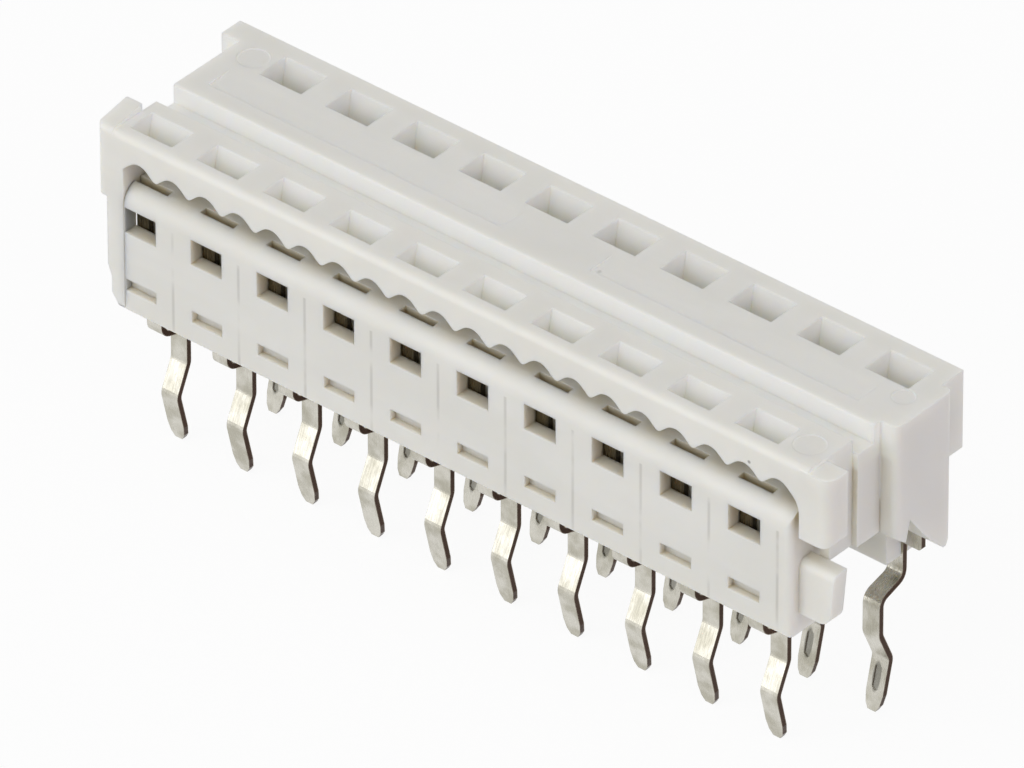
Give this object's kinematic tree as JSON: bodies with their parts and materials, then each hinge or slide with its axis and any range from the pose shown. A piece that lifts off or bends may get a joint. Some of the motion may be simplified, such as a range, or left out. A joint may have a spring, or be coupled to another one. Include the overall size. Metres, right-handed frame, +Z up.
{
  "type": "insulation-displacement ribbon cable connector for a circuit board",
  "caption": "White moulded connector that joins a flat ribbon cable to a circuit board: a base with forked tin-plated terminals, under a raised cover open for the cable.",
  "frame": {"origin": "on the board's surface, midway between the two rows of solder tails and midway along the wires", "axes": "+Z up from the board, +X along the rows of terminals, -Y towards the side that the ribbon cable goes in"},
  "size_m": [0.0278, 0.0065, 0.0115],
  "materials": {
    "white_plastic": "satin moulded thermoplastic",
    "tinned_bronze": "matte tin plate on bronze strip"
  },
  "bodies": {
    "root": {"base": "white_plastic", "cover": "white_plastic", "terminal_01": "tinned_bronze", "terminal_02": "tinned_bronze", "terminal_03": "tinned_bronze", "terminal_04": "tinned_bronze", "terminal_05": "tinned_bronze", "terminal_06": "tinned_bronze", "terminal_07": "tinned_bronze", "terminal_08": "tinned_bronze", "terminal_09": "tinned_bronze", "terminal_10": "tinned_bronze", "terminal_11": "tinned_bronze", "terminal_12": "tinned_bronze", "terminal_13": "tinned_bronze", "terminal_14": "tinned_bronze", "terminal_15": "tinned_bronze", "terminal_16": "tinned_bronze", "terminal_17": "tinned_bronze", "terminal_18": "tinned_bronze", "terminal_19": "tinned_bronze", "terminal_20": "tinned_bronze"}
  },
  "joints": []
}
